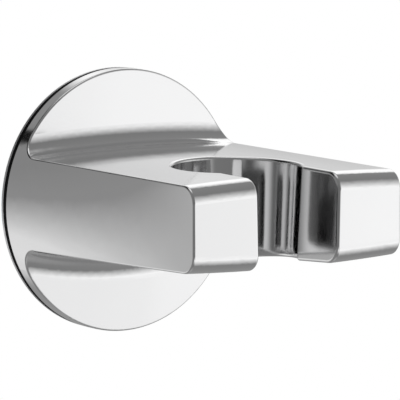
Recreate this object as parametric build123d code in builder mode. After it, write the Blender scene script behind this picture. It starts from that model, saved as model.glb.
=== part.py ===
"""Wall holder for a hand shower: a cast rosette with a two-prong cradle, on a hidden wall bracket.

Millimetres. The origin is on the wall, at the rosette's centre. +Z is up, +X is to the right as one
faces the wall, and the holder stands out from the wall along -Y.
"""
import os
from math import asin, degrees, sqrt

from build123d import *

# Rosette and the two thin layers behind it, as depths from the wall
rosette_diameter = 52.0
rosette_depth = 4.5
dome_height = 0.6
lip_thickness = 0.6
seal_thickness = 1.2
seal_width = 5.3

# Arm: reach from the wall, how far the flat flanks stand in from the rosette's edge at the front, and how far
# they run on past the top
reach = 62.7
flank_inset = 2.25
flank_overlap = 1.0
front_round = 3.4

# Arm's crowned top and underside, which grow rounder towards the rosette: heights and drops of their middle
# from the rosette's axis, and radii of their crown, each at the rosette's back and at the front
top_root_height = 11.2
top_height = 10.5
top_root_crown = 275.0
top_crown = 520.0
top_fillet = 4.1
underside_root_drop = 11.2
underside_drop = 6.85
underside_root_crown = 93.0
underside_crown = 520.0
underside_fillet = 5.5

# Conical cradle and its throat, with sizes at the arm's top and at the underside's root
cradle_distance = 42.6
cradle_top_diameter = 24.8
cradle_bottom_diameter = 22.6
throat_top_width = 18.5
throat_bottom_width = 17.5

# Edge breaks of the polished casting
outline_round = 0.4
throat_lip_round = 0.8
cradle_rim_round = 0.6

# Wall bracket
hub_depth = 2.5
boss_width = 25.0
boss_height = 11.0
boss_lift = 1.3
boss_corner = 2.5
boss_reach = 13.5
boss_lead_in = 0.6
wall_screw_spacing = 26.0
wall_screw_hole = 4.4
wall_screw_head = 7.6

# Grub screw under the arm
grub_diameter = 4.0
grub_length = 6.0
grub_distance = 10.0
grub_socket_flats = 2.0
grub_socket_depth = 1.8
grub_chamfer = 0.4
grub_seat_depth = 0.8

# Clearances between pieces
hub_clearance = 0.3
boss_clearance = 0.2
boss_end_clearance = 0.5
thread_clearance = 0.1
seal_setback = 0.1
lip_setback = 0.05

# How far cutters run past what they cut, and how close two shapes are when they touch
cut_overrun = 2.0
touch = 0.001

# Worked out from the above
rosette_radius = rosette_diameter / 2
body_back = lip_thickness + seal_thickness
flank_height = top_root_height + flank_overlap
front_half_width = rosette_radius - flank_inset
flank_angle = degrees(asin(flank_height / rosette_radius))
face_middle = rosette_depth + dome_height
dome_radius = (rosette_radius**2 + dome_height**2) / (2 * dome_height)
seal_radius = rosette_radius - seal_setback
hub_well_radius = seal_radius - seal_width
hub_radius = hub_well_radius - hub_clearance
boss_bottom = boss_lift - boss_height / 2
grub_tip = boss_bottom + grub_seat_depth
cut_top = top_root_height + cut_overrun
cut_bottom = -underside_root_drop - cut_overrun
stock = rosette_radius + cut_overrun


def crowned_bound(facing, root_height, front_height, root_crown, front_crown, root_fillet):
    """Everything behind the rosette's face or on the arm's side of one crowned surface.

    facing is 1 for the arm's top and -1 for its underside.
    """
    with BuildPart() as bound:
        with BuildSketch(Plane.XZ.offset(body_back)):
            Rectangle(2 * stock, 2 * stock)
        extrude(amount=face_middle - body_back)
        with Locations((0, dome_radius - face_middle, 0)):
            Sphere(dome_radius, mode=Mode.INTERSECT)
        for distance, height, crown in (
            (body_back, root_height, root_crown),
            (reach, front_height, front_crown),
        ):
            edge_height = height - crown + sqrt(crown**2 - stock**2)
            with BuildSketch(Plane.XZ.offset(distance)):
                with BuildLine():
                    ThreePointArc(
                        (-stock, facing * edge_height), (0, facing * height), (stock, facing * edge_height)
                    )
                    Polyline(
                        (stock, facing * edge_height),
                        (stock, -facing * stock),
                        (-stock, -facing * stock),
                        (-stock, facing * edge_height),
                    )
                make_face()
        loft(ruled=True)
        root = bound.edges().sort_by_distance((0, -face_middle, facing * root_height))[0]
        fillet(root, root_fillet)
        front = bound.edges().sort_by_distance((0, -reach, facing * front_height))[0]
        fillet(front, front_round)
    return bound.part


def drafted(top_size, bottom_size, height):
    """A size at some height, on a straight draft from the arm's top to the underside's root."""
    share = (top_height - height) / (top_height + underside_root_drop)
    return top_size + (bottom_size - top_size) * share


def border(walls):
    """Edges that only one of the given faces has."""
    all_edges = [edge for wall in walls for edge in wall.edges()]
    return [edge for edge in all_edges if all_edges.count(edge) == 1]


def touches(solid, face):
    """Whether the middle of a face lies on a solid."""
    return solid.distance_to(face.position_at(0.5, 0.5)) < touch


# Side walls of the body: rulings from the round rosette to the flat flanks of the prongs
with BuildPart() as side_walls:
    with BuildSketch(Plane.XZ.offset(body_back)):
        with BuildLine():
            for side in (0, 180):
                CenterArc((0, 0), rosette_radius, side - flank_angle, 2 * flank_angle)
                CenterArc((0, 0), rosette_radius, side + flank_angle, 180 - 2 * flank_angle)
        make_face()
    with BuildSketch(Plane.XZ.offset(reach)):
        with BuildLine():
            for hand in (1, -1):
                flank_x = hand * front_half_width
                flank_z = hand * flank_height
                Line((flank_x, -flank_z), (flank_x, flank_z))
                ThreePointArc((flank_x, flank_z), (0, hand * rosette_radius), (-flank_x, flank_z))
        make_face()
    loft(ruled=True)

arm_top = crowned_bound(1, top_root_height, top_height, top_root_crown, top_crown, top_fillet)
arm_underside = crowned_bound(
    -1, underside_root_drop, underside_drop, underside_root_crown, underside_crown, underside_fillet
)

# Space of the cradle: a cone with a drafted throat to the front, and soft lips where they meet. The cone is
# turned so that its seam falls inside the throat.
with BuildPart() as cradle_space:
    with Locations((0, -cradle_distance, cut_bottom)):
        Cone(
            drafted(cradle_top_diameter, cradle_bottom_diameter, cut_bottom) / 2,
            drafted(cradle_top_diameter, cradle_bottom_diameter, cut_top) / 2,
            cut_top - cut_bottom,
            rotation=(0, 0, -90),
            align=(Align.CENTER, Align.CENTER, Align.MIN),
        )
    with BuildSketch(Plane.XZ.offset(cradle_distance)):
        with BuildLine():
            low_x = drafted(throat_top_width, throat_bottom_width, cut_bottom) / 2
            high_x = drafted(throat_top_width, throat_bottom_width, cut_top) / 2
            Polyline(
                (-low_x, cut_bottom), (low_x, cut_bottom), (high_x, cut_top), (-high_x, cut_top), close=True
            )
        make_face()
    extrude(amount=reach)
    fillet(cradle_space.edges(Select.NEW), throat_lip_round)

# Body: rosette, arm and two prongs, cast in one
with BuildPart() as holder_body:
    add(side_walls.part)
    add(cradle_space.part, mode=Mode.SUBTRACT)
    add(arm_top, mode=Mode.INTERSECT)
    add(arm_underside, mode=Mode.INTERSECT)
    back = holder_body.faces().sort_by(Axis.Y)[-1]
    back_edges = back.edges()
    outer_walls = [face for face in holder_body.faces() if set(face.edges()) & set(back_edges)]
    outer_walls.remove(back)
    outline = [edge for edge in border(outer_walls) if edge not in back_edges]
    cradle_walls = [face for face in holder_body.faces() if touches(cradle_space.part, face)]
    cradle_rim = border(cradle_walls)
    fillet(outline, outline_round)
    fillet(cradle_rim, cradle_rim_round)

    with BuildSketch(Plane.XZ.offset(body_back)):
        Circle(hub_well_radius)
    extrude(amount=hub_depth + hub_clearance - body_back, mode=Mode.SUBTRACT)
    with BuildSketch(Plane.XZ.offset(body_back)):
        with Locations((0, boss_lift)):
            RectangleRounded(
                boss_width + 2 * boss_clearance,
                boss_height + 2 * boss_clearance,
                boss_corner + boss_clearance,
            )
    extrude(amount=boss_reach + boss_end_clearance - body_back, mode=Mode.SUBTRACT)
    with BuildSketch(Plane.XY.offset(boss_lift)):
        with Locations((0, -grub_distance)):
            Circle(grub_diameter / 2)
    extrude(amount=cut_bottom - boss_lift, mode=Mode.SUBTRACT)

# Wall bracket: a lip as wide as the rosette, a hub in its hollow and a key boss in the arm's pocket
with BuildPart() as wall_bracket:
    with BuildSketch(Plane.XZ):
        Circle(rosette_radius - lip_setback)
    extrude(amount=lip_thickness)
    with BuildSketch(Plane.XZ):
        Circle(hub_radius)
    extrude(amount=hub_depth)
    with BuildSketch(Plane.XZ):
        with Locations((0, boss_lift)):
            RectangleRounded(boss_width, boss_height, boss_corner)
    extrude(amount=boss_reach)
    chamfer(wall_bracket.faces().sort_by(Axis.Y)[0].edges(), boss_lead_in)
    with Locations(Plane.XZ.offset(hub_depth)):
        with GridLocations(0, wall_screw_spacing, 1, 2):
            CounterSinkHole(wall_screw_hole / 2, wall_screw_head / 2, counter_sink_angle=90)
    with BuildSketch(Plane.XY.offset(boss_bottom)):
        with Locations((0, -grub_distance)):
            Circle(grub_diameter / 2 + thread_clearance)
    extrude(amount=grub_seat_depth, mode=Mode.SUBTRACT)

# Flat seal between the bracket's lip and the rosette's back
with BuildPart() as seal_ring:
    with BuildSketch(Plane.XZ.offset(lip_thickness)):
        Circle(seal_radius)
        Circle(hub_well_radius, mode=Mode.SUBTRACT)
    extrude(amount=seal_thickness)

# Grub screw: turned up from below until its point seats in the bracket's boss
with BuildPart() as grub_screw:
    with BuildSketch(Plane.XY.offset(grub_tip - grub_length)):
        with Locations((0, -grub_distance)):
            Circle(grub_diameter / 2 - thread_clearance)
    extrude(amount=grub_length)
    chamfer(grub_screw.edges(), grub_chamfer)
    with BuildSketch(Plane.XY.offset(grub_tip - grub_length)):
        with Locations((0, -grub_distance)):
            RegularPolygon(grub_socket_flats / 2, 6, major_radius=False)
    extrude(amount=grub_socket_depth, mode=Mode.SUBTRACT)

os.makedirs("parts", exist_ok=True)
holder_body.part.label = "holder_body"
export_step(holder_body.part, "parts/holder_body.step")
wall_bracket.part.label = "wall_bracket"
export_step(wall_bracket.part, "parts/wall_bracket.step")
seal_ring.part.label = "seal_ring"
export_step(seal_ring.part, "parts/seal_ring.step")
grub_screw.part.label = "grub_screw"
export_step(grub_screw.part, "parts/grub_screw.step")
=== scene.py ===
"""Looks of a wall holder for a hand shower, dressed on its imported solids.

Metres, in the frame of the solids: the origin is on the wall at the rosette's centre, the holder stands out
along -Y and +Z is up. The studio is described by what the mirror-polished holder sees of it, as soft-edged
cards all round.
"""

import logging
import math
from dataclasses import dataclass, field
from enum import Enum
from typing import ClassVar

import bpy
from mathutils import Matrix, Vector


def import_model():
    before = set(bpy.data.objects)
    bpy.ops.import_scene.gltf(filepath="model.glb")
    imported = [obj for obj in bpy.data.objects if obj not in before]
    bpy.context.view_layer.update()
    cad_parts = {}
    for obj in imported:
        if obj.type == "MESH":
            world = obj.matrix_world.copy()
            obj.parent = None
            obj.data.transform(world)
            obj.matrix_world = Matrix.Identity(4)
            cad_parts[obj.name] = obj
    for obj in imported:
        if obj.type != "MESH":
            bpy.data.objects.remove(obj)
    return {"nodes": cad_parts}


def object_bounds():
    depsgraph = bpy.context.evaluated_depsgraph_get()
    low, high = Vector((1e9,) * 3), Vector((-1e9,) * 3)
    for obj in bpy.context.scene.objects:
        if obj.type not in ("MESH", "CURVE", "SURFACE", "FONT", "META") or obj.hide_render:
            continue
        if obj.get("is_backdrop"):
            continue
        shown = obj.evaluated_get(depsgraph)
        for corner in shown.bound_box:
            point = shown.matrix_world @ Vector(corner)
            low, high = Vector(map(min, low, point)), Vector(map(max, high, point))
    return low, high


LOG = logging.getLogger("hand_shower_holder")
MM = 0.001
HALF_TURN = 180.0

# Nearly all of the noise lies between these two values
NOISE_LOW = 0.3
NOISE_HIGH = 0.7

# With this blend, Layer Weight's Facing is one minus the cosine of the slant
EVEN_BLEND = 0.5

Colour = tuple[float, float, float, float]
Term = bpy.types.NodeSocket | float | Colour
Inputs = dict[str | int, Term]


def grey(level: float) -> Colour:
    """Opaque grey of one linear level."""
    return (level, level, level, 1.0)


class Kind(Enum):
    """Kinds of socket on the node groups."""

    NUMBER = "NodeSocketFloat"
    COLOUR = "NodeSocketColor"


class Ramp(Enum):
    """How a change between two numbers runs."""

    EVEN = "LINEAR"
    SOFT = "SMOOTHSTEP"


class Operation(Enum):
    """Operations of the Math node that are used here."""

    SUBTRACT = "SUBTRACT"
    MULTIPLY = "MULTIPLY"
    MULTIPLY_ADD = "MULTIPLY_ADD"
    WRAP = "WRAP"
    ARCTAN2 = "ARCTAN2"
    ARCSINE = "ARCSINE"
    DEGREES = "DEGREES"


class Wiring:
    """Adds nodes to one node tree and links them."""

    def __init__(self, tree: bpy.types.NodeTree) -> None:
        """Keep the tree to work on."""
        self.tree = tree

    def add(self, kind: str, inputs: Inputs | None = None, **settings: object) -> bpy.types.Node:
        """Add a node, set its properties and feed its inputs.

        Args:
            kind: Blender's name of the node type.
            inputs: What goes into each input, a socket to link or a plain value.
            settings: Properties of the node.

        Returns:
            The new node.
        """
        node = self.tree.nodes.new(kind)
        for name, value in settings.items():
            setattr(node, name, value)
        for name, term in (inputs or {}).items():
            self.feed(node.inputs[name], term)
        return node

    def feed(self, socket: bpy.types.NodeSocket, term: Term) -> None:
        """Link a socket into an input, or set the input to a plain value.

        Args:
            socket: The input.
            term: What goes into it.
        """
        if isinstance(term, bpy.types.NodeSocket):
            self.tree.links.new(term, socket)
        else:
            socket.default_value = term

    def math(self, operation: Operation, *terms: Term) -> bpy.types.NodeSocket:
        """Result of one Math node on the given terms."""
        inputs = dict(enumerate(terms))
        return self.add("ShaderNodeMath", inputs, operation=operation.value).outputs[0]

    def mix(self, share: Term, first: Term, second: Term) -> bpy.types.NodeSocket:
        """Mix of two colours, by the share of the second one."""
        node = self.add("ShaderNodeMix", {"Factor": share, "A": first, "B": second}, data_type="RGBA")
        return node.outputs["Result"]

    def ramp(
        self, value: Term, start: Term, end: Term, low: Term, high: Term, run: Ramp
    ) -> bpy.types.NodeSocket:
        """Carry a value from one range to another.

        Args:
            value: The value to carry.
            start: Where the change begins.
            end: Where the change ends.
            low: Result at the start.
            high: Result at the end.
            run: How it changes between them.

        Returns:
            The socket with the result.
        """
        inputs = {"Value": value, "From Min": start, "From Max": end, "To Min": low, "To Max": high}
        node = self.add("ShaderNodeMapRange", inputs, interpolation_type=run.value, clamp=True)
        return node.outputs["Result"]

    def noise(self, per_metre: Term, detail: float, roughness: float = 0.5) -> bpy.types.NodeSocket:
        """Cloudy noise that is fixed to the surface.

        Args:
            per_metre: How many clouds there are to the metre.
            detail: How many finer layers lie on the clouds.
            roughness: How strong each finer layer is against the one before.

        Returns:
            The socket with the noise.
        """
        place = self.add("ShaderNodeTexCoord").outputs["Object"]
        inputs = {"Vector": place, "Scale": per_metre, "Detail": detail, "Roughness": roughness}
        return self.add("ShaderNodeTexNoise", inputs).outputs["Fac"]


class NodeGroup:
    """A named node group that is built once and placed wherever it is used."""

    name: ClassVar[str]
    inputs: ClassVar[dict[str, Kind]]
    outputs: ClassVar[dict[str, Kind]]

    @classmethod
    def tree(cls) -> bpy.types.NodeTree:
        """Node tree of the group, made at its first use.

        Returns:
            The tree.
        """
        made = bpy.data.node_groups.get(cls.name)
        if made:
            return made
        made = bpy.data.node_groups.new(cls.name, "ShaderNodeTree")
        for sockets, side in ((cls.inputs, "INPUT"), (cls.outputs, "OUTPUT")):
            for socket, kind in sockets.items():
                made.interface.new_socket(socket, in_out=side, socket_type=kind.value)
        wiring = Wiring(made)
        given = wiring.add("NodeGroupInput").outputs
        wiring.add("NodeGroupOutput", cls.wire(wiring, given))
        return made

    @classmethod
    def wire(cls, wiring: Wiring, given: bpy.types.NodeOutputs) -> Inputs:
        """Build the inside of the group.

        Args:
            wiring: Wiring of the group's tree.
            given: Sockets of the group's inputs.

        Returns:
            What goes to each output of the group.
        """
        raise NotImplementedError

    @classmethod
    def place(cls, wiring: Wiring, inputs: Inputs) -> bpy.types.NodeOutputs:
        """Place the group in a material or world.

        Args:
            wiring: Wiring of the tree that uses the group.
            inputs: What goes into each input of the group.

        Returns:
            The placed group's outputs.
        """
        return wiring.add("ShaderNodeGroup", inputs, node_tree=cls.tree()).outputs


class ToneDrift(NodeGroup):
    """Slow drift of a colour between two tones, in cloudy patches."""

    name = "tone_drift"
    inputs = {"Light Tone": Kind.COLOUR, "Dark Tone": Kind.COLOUR, "Patches per Metre": Kind.NUMBER}
    outputs = {"Colour": Kind.COLOUR}
    patch_detail: ClassVar[float] = 4.0
    patch_roughness: ClassVar[float] = 0.55

    @classmethod
    def wire(cls, wiring: Wiring, given: bpy.types.NodeOutputs) -> Inputs:
        """Mix the two tones by cloudy patches.

        Args:
            wiring: Wiring of the group's tree.
            given: Sockets of the group's inputs.

        Returns:
            The colour.
        """
        patches = wiring.noise(given["Patches per Metre"], cls.patch_detail, cls.patch_roughness)
        share = wiring.ramp(patches, NOISE_LOW, NOISE_HIGH, 0.0, 1.0, Ramp.SOFT)
        return {"Colour": wiring.mix(share, given["Light Tone"], given["Dark Tone"])}


class GlossDrift(NodeGroup):
    """Roughness that wanders between two values, in broad clouds with fine specks in them."""

    name = "gloss_drift"
    inputs = {
        "Smoothest": Kind.NUMBER,
        "Roughest": Kind.NUMBER,
        "Clouds per Metre": Kind.NUMBER,
        "Specks per Metre": Kind.NUMBER,
    }
    outputs = {"Roughness": Kind.NUMBER}
    cloud_detail: ClassVar[float] = 3.0
    cloud_share: ClassVar[float] = 0.6
    speck_detail: ClassVar[float] = 2.0
    speck_share: ClassVar[float] = 0.4

    @classmethod
    def wire(cls, wiring: Wiring, given: bpy.types.NodeOutputs) -> Inputs:
        """Spread the roughness by clouds and specks.

        Args:
            wiring: Wiring of the group's tree.
            given: Sockets of the group's inputs.

        Returns:
            The roughness.
        """
        clouds = wiring.noise(given["Clouds per Metre"], cls.cloud_detail)
        specks = wiring.noise(given["Specks per Metre"], cls.speck_detail)
        shaded = wiring.math(Operation.MULTIPLY, clouds, cls.cloud_share)
        both = wiring.math(Operation.MULTIPLY_ADD, specks, cls.speck_share, shaded)
        limits = (given["Smoothest"], given["Roughest"])
        return {"Roughness": wiring.ramp(both, NOISE_LOW, NOISE_HIGH, *limits, Ramp.SOFT)}


class FineRelief(NodeGroup):
    """Height of a fine skin: soft waves with grain on top."""

    name = "fine_relief"
    inputs = {"Waves per Metre": Kind.NUMBER, "Grains per Metre": Kind.NUMBER, "Grain Share": Kind.NUMBER}
    outputs = {"Height": Kind.NUMBER}
    wave_detail: ClassVar[float] = 1.0
    grain_detail: ClassVar[float] = 3.0

    @classmethod
    def wire(cls, wiring: Wiring, given: bpy.types.NodeOutputs) -> Inputs:
        """Add grain to soft waves.

        Args:
            wiring: Wiring of the group's tree.
            given: Sockets of the group's inputs.

        Returns:
            The height.
        """
        waves = wiring.noise(given["Waves per Metre"], cls.wave_detail)
        grains = wiring.noise(given["Grains per Metre"], cls.grain_detail)
        return {"Height": wiring.math(Operation.MULTIPLY_ADD, grains, given["Grain Share"], waves)}


class SoftCard(NodeGroup):
    """Mask of one soft-edged card of the studio, by the direction in which it is seen, in degrees."""

    name = "soft_card"
    inputs = {
        "Azimuth": Kind.NUMBER,
        "Elevation": Kind.NUMBER,
        "Card Azimuth": Kind.NUMBER,
        "Left Clear": Kind.NUMBER,
        "Left Full": Kind.NUMBER,
        "Right Full": Kind.NUMBER,
        "Right Clear": Kind.NUMBER,
        "Low Clear": Kind.NUMBER,
        "Low Full": Kind.NUMBER,
        "High Full": Kind.NUMBER,
        "High Clear": Kind.NUMBER,
    }
    outputs = {"Mask": Kind.NUMBER}

    @classmethod
    def wire(cls, wiring: Wiring, given: bpy.types.NodeOutputs) -> Inputs:
        """Multiply the card's soft sides, foot and head.

        Args:
            wiring: Wiring of the group's tree.
            given: Sockets of the group's inputs.

        Returns:
            The mask.
        """
        turn = wiring.math(Operation.SUBTRACT, given["Azimuth"], given["Card Azimuth"])
        aside = wiring.math(Operation.WRAP, turn, HALF_TURN, -HALF_TURN)
        height = given["Elevation"]
        left = wiring.ramp(aside, given["Left Clear"], given["Left Full"], 0.0, 1.0, Ramp.SOFT)
        right = wiring.ramp(aside, given["Right Clear"], given["Right Full"], 0.0, 1.0, Ramp.SOFT)
        foot = wiring.ramp(height, given["Low Clear"], given["Low Full"], 0.0, 1.0, Ramp.EVEN)
        head = wiring.ramp(height, given["High Clear"], given["High Full"], 0.0, 1.0, Ramp.EVEN)
        sides = wiring.math(Operation.MULTIPLY, left, right)
        return {"Mask": wiring.math(Operation.MULTIPLY, sides, wiring.math(Operation.MULTIPLY, foot, head))}


@dataclass(frozen=True)
class Finish:
    """What every finish has: its material slot, two tones, a range of gloss and a fine skin.

    Patches, clouds, specks, waves and grains are numbers to the metre.
    """

    slot: str
    light_tone: Colour
    dark_tone: Colour
    patches: float
    smoothest: float
    roughest: float
    clouds: float
    specks: float
    waves: float
    grains: float
    grain_share: float
    skin_depth: float
    metallic: float
    specular: float

    def colour(self, wiring: Wiring) -> bpy.types.NodeSocket:
        """Colour over the surface, drifting between the two tones."""
        tones = {"Light Tone": self.light_tone, "Dark Tone": self.dark_tone}
        return ToneDrift.place(wiring, tones | {"Patches per Metre": self.patches})["Colour"]

    def gloss(self, wiring: Wiring) -> bpy.types.NodeSocket:
        """Roughness over the surface.

        Args:
            wiring: Wiring of the material.

        Returns:
            The socket with the roughness.
        """
        inputs = {
            "Smoothest": self.smoothest,
            "Roughest": self.roughest,
            "Clouds per Metre": self.clouds,
            "Specks per Metre": self.specks,
        }
        return GlossDrift.place(wiring, inputs)["Roughness"]

    def skin(self, wiring: Wiring) -> bpy.types.NodeSocket:
        """Normal of the surface with its fine skin.

        Args:
            wiring: Wiring of the material.

        Returns:
            The socket with the normal.
        """
        inputs = {
            "Waves per Metre": self.waves,
            "Grains per Metre": self.grains,
            "Grain Share": self.grain_share,
        }
        height = FineRelief.place(wiring, inputs)["Height"]
        bump = wiring.add("ShaderNodeBump", {"Strength": 1.0, "Distance": self.skin_depth, "Height": height})
        return bump.outputs["Normal"]

    def material(self) -> bpy.types.Material:
        """Build the material of this finish.

        Returns:
            The new material, named for its slot.
        """
        material = bpy.data.materials.new(self.slot)
        material.use_nodes = True
        material.node_tree.nodes.clear()
        wiring = Wiring(material.node_tree)
        shader = wiring.add(
            "ShaderNodeBsdfPrincipled",
            {
                "Base Color": self.colour(wiring),
                "Metallic": self.metallic,
                "Specular IOR Level": self.specular,
                "Roughness": self.gloss(wiring),
                "Normal": self.skin(wiring),
            },
        )
        wiring.add("ShaderNodeOutputMaterial", {"Surface": shader.outputs["BSDF"]})
        return material


@dataclass(frozen=True)
class PlatedFinish(Finish):
    """Bright plating, which mirrors the more, the flatter one looks along it."""

    grazing_tone: Colour

    def colour(self, wiring: Wiring) -> bpy.types.NodeSocket:
        """Strength of the mirror, from the drifting tone seen head on to the grazing tone."""
        slant = wiring.add("ShaderNodeLayerWeight", {"Blend": EVEN_BLEND}).outputs["Facing"]
        return wiring.mix(slant, super().colour(wiring), self.grazing_tone)


POLISHED_CHROME = PlatedFinish(
    slot="polished_chrome",
    light_tone=(0.512, 0.512, 0.514, 1.0),
    dark_tone=(0.502, 0.502, 0.505, 1.0),
    patches=45.0,
    smoothest=0.063,
    roughest=0.087,
    clouds=70.0,
    specks=1400.0,
    waves=55.0,
    grains=400.0,
    grain_share=0.02,
    skin_depth=0.0004 * MM,
    metallic=1.0,
    specular=0.5,
    grazing_tone=(0.940, 0.940, 0.942, 1.0),
)
CAST_METAL = Finish(
    slot="bracket_metal",
    light_tone=(0.62, 0.62, 0.63, 1.0),
    dark_tone=(0.55, 0.55, 0.56, 1.0),
    patches=900.0,
    smoothest=0.30,
    roughest=0.44,
    clouds=500.0,
    specks=3000.0,
    waves=1400.0,
    grains=6000.0,
    grain_share=0.5,
    skin_depth=0.02 * MM,
    metallic=1.0,
    specular=0.5,
)
SEAL_RUBBER = Finish(
    slot="seal_rubber",
    light_tone=(0.0045, 0.0045, 0.0048, 1.0),
    dark_tone=(0.0025, 0.0025, 0.0026, 1.0),
    patches=300.0,
    smoothest=0.55,
    roughest=0.75,
    clouds=250.0,
    specks=4000.0,
    waves=700.0,
    grains=6000.0,
    grain_share=0.4,
    skin_depth=0.03 * MM,
    metallic=0.0,
    specular=0.05,
)
BRIGHT_STEEL = Finish(
    slot="screw_steel",
    light_tone=(0.56, 0.56, 0.57, 1.0),
    dark_tone=(0.46, 0.46, 0.47, 1.0),
    patches=700.0,
    smoothest=0.22,
    roughest=0.36,
    clouds=600.0,
    specks=9000.0,
    waves=1500.0,
    grains=9000.0,
    grain_share=0.3,
    skin_depth=0.008 * MM,
    metallic=1.0,
    specular=0.5,
)


@dataclass
class SolidPiece:
    """A piece whose solid is shown as it is, with a finish on it."""

    node: str
    finish: Finish

    def dress(self, piece: bpy.types.Object) -> None:
        """Give the piece its finish.

        Args:
            piece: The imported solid.
        """
        piece.data.materials.clear()
        piece.data.materials.append(self.finish.material())

    def build(self, nodes: dict[str, bpy.types.Object]) -> bpy.types.Object:
        """Find the solid of the piece and dress it.

        Args:
            nodes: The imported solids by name.

        Returns:
            The piece.
        """
        piece = nodes[self.node]
        self.dress(piece)
        return piece


@dataclass
class HolderBody(SolidPiece):
    """Rosette, arm and two-prong cradle, cast in one and chrome plated."""

    node: str = "holder_body"
    finish: Finish = POLISHED_CHROME


@dataclass
class SealRing(SolidPiece):
    """Flat black seal behind the rosette."""

    node: str = "seal_ring"
    finish: Finish = SEAL_RUBBER


@dataclass
class WallBracket(SolidPiece):
    """Hidden cast bracket, of which only the lip's edge shows behind the rosette."""

    node: str = "wall_bracket"
    finish: Finish = CAST_METAL


@dataclass
class GrubScrew(SolidPiece):
    """Socket screw under the arm that locks the body on its bracket."""

    node: str = "grub_screw"
    finish: Finish = BRIGHT_STEEL


@dataclass(frozen=True)
class Fade:
    """Where something begins to show, is full, stops being full and is gone again, in degrees."""

    clear_from: float
    full_from: float
    full_to: float
    clear_to: float


@dataclass(frozen=True)
class StudioCard:
    """A card of the studio, by the direction in which the holder sees it, in degrees.

    Azimuth 0 is straight out from the wall and grows to the right as one faces the wall. The sides are turns
    from the card's azimuth, the heights are elevations.
    """

    level: float
    azimuth: float
    sides: Fade
    heights: Fade

    def mask(
        self, wiring: Wiring, azimuth: bpy.types.NodeSocket, elevation: bpy.types.NodeSocket
    ) -> bpy.types.NodeSocket:
        """How fully the card covers a direction.

        Args:
            wiring: Wiring of the world.
            azimuth: Azimuth of the direction.
            elevation: Elevation of the direction.

        Returns:
            The socket with the mask, from 0 to 1.
        """
        inputs = {
            "Azimuth": azimuth,
            "Elevation": elevation,
            "Card Azimuth": self.azimuth,
            "Left Clear": self.sides.clear_from,
            "Left Full": self.sides.full_from,
            "Right Full": self.sides.full_to,
            "Right Clear": self.sides.clear_to,
            "Low Clear": self.heights.clear_from,
            "Low Full": self.heights.full_from,
            "High Full": self.heights.full_to,
            "High Clear": self.heights.clear_to,
        }
        return SoftCard.place(wiring, inputs)["Mask"]


# Wider than a whole turn, so that no side shows
ALL_ROUND = Fade(-200.0, -190.0, 190.0, 200.0)

# Soft box in front, mirrored by the rosette's face and the prongs' ends, and a little dimmer low down
KEY_BOX = StudioCard(
    level=1.54, azimuth=44.0, sides=Fade(-42.0, -10.0, 8.0, 56.0), heights=Fade(-51.0, -25.0, 3.0, 39.5)
)
KEY_BOX_LOW_LEFT = StudioCard(
    level=1.40, azimuth=44.0, sides=Fade(-42.0, -22.0, -9.0, -6.5), heights=Fade(-27.0, -20.0, -6.5, -4.0)
)
KEY_BOX_LOW_RIGHT = StudioCard(
    level=1.45, azimuth=44.0, sides=Fade(-9.0, -6.0, 20.0, 40.0), heights=Fade(-27.0, -20.0, -12.0, -9.0)
)
FRONT_FILL = StudioCard(
    level=1.30, azimuth=0.0, sides=Fade(-46.0, -24.0, 14.0, 26.0), heights=Fade(-50.0, -28.0, -22.0, -10.0)
)

# Panel at the back on the right, mirrored by the arm's top
REAR_RIGHT_PANEL = StudioCard(
    level=1.25, azimuth=140.0, sides=Fade(-34.0, -18.0, 12.0, 32.0), heights=Fade(-8.0, 28.0, 44.0, 60.0)
)

# Grey screen at the back on the left with a glow below and a black flag above, mirrored by the left flank
# and the rosette's rim
REAR_LEFT_SCREEN = StudioCard(
    level=0.352, azimuth=-145.0, sides=Fade(-45.0, -30.0, 30.0, 45.0), heights=Fade(-35.0, -30.0, 1.0, 13.0)
)
REAR_LEFT_GLOW = StudioCard(
    level=0.95, azimuth=-154.0, sides=Fade(-28.0, -12.0, 16.0, 34.0), heights=Fade(-48.0, -26.0, -19.0, -1.0)
)
REAR_LEFT_FLAG = StudioCard(
    level=0.01, azimuth=-140.0, sides=Fade(-23.4, -22.4, 15.0, 35.0), heights=Fade(22.2, 23.0, 55.0, 62.0)
)

# Dim strip and black flag in front on the left, mirrored several times inside the cradle
LEFT_STRIP = StudioCard(
    level=0.21, azimuth=-50.0, sides=Fade(-14.0, -6.0, 6.0, 14.0), heights=Fade(-40.0, -20.0, 10.0, 30.0)
)
LEFT_FLAG = StudioCard(
    level=0.0, azimuth=-47.0, sides=Fade(-6.0, -4.0, 3.0, 5.0), heights=Fade(2.5, 4.0, 8.0, 11.0)
)

# Light from above and light thrown back from below
CEILING = StudioCard(level=1.25, azimuth=0.0, sides=ALL_ROUND, heights=Fade(62.0, 80.0, 95.0, 100.0))
GROUND = StudioCard(level=0.54, azimuth=0.0, sides=ALL_ROUND, heights=Fade(-100.0, -95.0, -85.0, -63.0))


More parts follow.
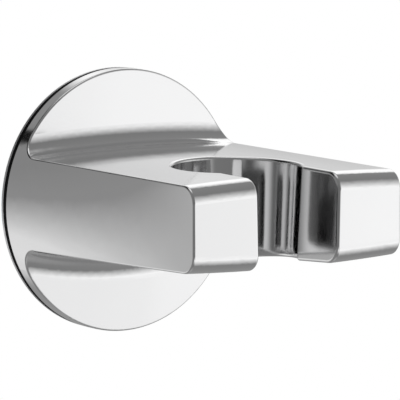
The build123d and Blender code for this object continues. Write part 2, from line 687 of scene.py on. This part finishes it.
@dataclass
class Studio:
    """Pale floor, soft studio light and the camera.

    Where cards overlap, a later one lies before an earlier one.
    """

    ambient: float = 0.305
    backdrop: float = 1.0
    floor_drop: float = 60 * MM
    floor_half_size: float = 4.0
    aim: Vector = field(default_factory=lambda: Vector((4.774, -23.6, 1.643)) * MM)
    camera_azimuth: float = -34.64
    camera_elevation: float = 7.07
    camera_distance: float = 844.3 * MM
    lens: float = 391.85
    sensor: float = 36.0
    shift_x: float = -0.00125
    clip_start: float = 10 * MM
    clip_end: float = 20.0
    cards: tuple[StudioCard, ...] = (
        LEFT_STRIP,
        KEY_BOX,
        KEY_BOX_LOW_LEFT,
        KEY_BOX_LOW_RIGHT,
        REAR_RIGHT_PANEL,
        REAR_LEFT_SCREEN,
        REAR_LEFT_GLOW,
        REAR_LEFT_FLAG,
        LEFT_FLAG,
        FRONT_FILL,
        CEILING,
        GROUND,
    )

    def light(self) -> bpy.types.World:
        """Make the world: white to the camera, cards on grey to everything that mirrors or is lit.

        Returns:
            The world.
        """
        world = bpy.data.worlds.new("studio")
        world.use_nodes = True
        world.node_tree.nodes.clear()
        wiring = Wiring(world.node_tree)
        direction = wiring.add("ShaderNodeTexCoord").outputs["Generated"]
        axes = wiring.add("ShaderNodeSeparateXYZ", {"Vector": direction}).outputs
        outward = wiring.math(Operation.MULTIPLY, axes["Y"], -1.0)
        azimuth = wiring.math(Operation.DEGREES, wiring.math(Operation.ARCTAN2, axes["X"], outward))
        elevation = wiring.math(Operation.DEGREES, wiring.math(Operation.ARCSINE, axes["Z"]))
        seen: Term = self.ambient
        for card in self.cards:
            mask = card.mask(wiring, azimuth, elevation)
            seen = wiring.ramp(mask, 0.0, 1.0, seen, card.level, Ramp.EVEN)
        to_camera = wiring.add("ShaderNodeLightPath").outputs["Is Camera Ray"]
        shown = wiring.ramp(to_camera, 0.0, 1.0, seen, self.backdrop, Ramp.EVEN)
        background = wiring.add("ShaderNodeBackground", {"Color": shown})
        wiring.add("ShaderNodeOutputWorld", {"Surface": background.outputs["Background"]})
        bpy.context.scene.world = world
        return world

    def paper(self) -> bpy.types.Material:
        """Pale paper of the floor, which is clear from below.

        Returns:
            The material.
        """
        material = bpy.data.materials.new("pale_floor")
        material.use_nodes = True
        material.node_tree.nodes.clear()
        wiring = Wiring(material.node_tree)
        pale = wiring.add("ShaderNodeEmission", {"Color": grey(self.backdrop)})
        clear = wiring.add("ShaderNodeBsdfTransparent")
        below = wiring.add("ShaderNodeNewGeometry").outputs["Backfacing"]
        sides = wiring.add("ShaderNodeMixShader", {0: below, 1: pale.outputs[0], 2: clear.outputs[0]})
        wiring.add("ShaderNodeOutputMaterial", {"Surface": sides.outputs[0]})
        return material

    def floor(self, lowest: float) -> bpy.types.Object:
        """Lay the pale floor below the holder.

        Args:
            lowest: Height of the holder's lowest point.

        Returns:
            The floor, which no mirror shows.
        """
        half = self.floor_half_size
        height = lowest - self.floor_drop
        corners = [(-half, -half, height), (half, -half, height), (half, half, height), (-half, half, height)]
        mesh = bpy.data.meshes.new("floor")
        mesh.from_pydata(corners, [], [(0, 1, 2, 3)])
        mesh.materials.append(self.paper())
        floor = bpy.data.objects.new("floor", mesh)
        bpy.context.scene.collection.objects.link(floor)
        floor.visible_glossy = False
        floor.visible_shadow = False
        floor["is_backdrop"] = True
        return floor

    def camera(self) -> bpy.types.Object:
        """Set up the camera at the photograph's angle, with plain tones.

        Returns:
            The camera.
        """
        turn = math.radians(self.camera_azimuth)
        rise = math.radians(self.camera_elevation)
        back = Vector((math.sin(turn) * math.cos(rise), -math.cos(turn) * math.cos(rise), math.sin(rise)))
        lens = bpy.data.cameras.new("camera")
        lens.lens = self.lens
        lens.sensor_width = self.sensor
        lens.shift_x = self.shift_x
        lens.clip_start = self.clip_start
        lens.clip_end = self.clip_end
        camera = bpy.data.objects.new("camera", lens)
        camera.location = self.aim + back * self.camera_distance
        camera.rotation_mode = "QUATERNION"
        camera.rotation_quaternion = (-back).to_track_quat("-Z", "Y")
        scene = bpy.context.scene
        scene.collection.objects.link(camera)
        scene.camera = camera
        scene.view_settings.view_transform = "Standard"
        scene.view_settings.look = "None"
        return camera


def main() -> None:
    """Load the solids, dress each piece, set up the studio and lay the floor below the solids."""
    logging.basicConfig(level=logging.INFO, format="%(name)s: %(message)s")
    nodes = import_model()["nodes"]
    solid_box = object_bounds()
    for piece in (HolderBody(), SealRing(), WallBracket(), GrubScrew()):
        made = piece.build(nodes)
        LOG.info("%s dressed in %s", made.name, piece.finish.slot)
    studio = Studio()
    LOG.info("%s lit", studio.light().name)
    LOG.info("%s laid", studio.floor(solid_box[0].z).name)
    LOG.info("%s set up", studio.camera().name)


if __name__ == "__main__":
    main()
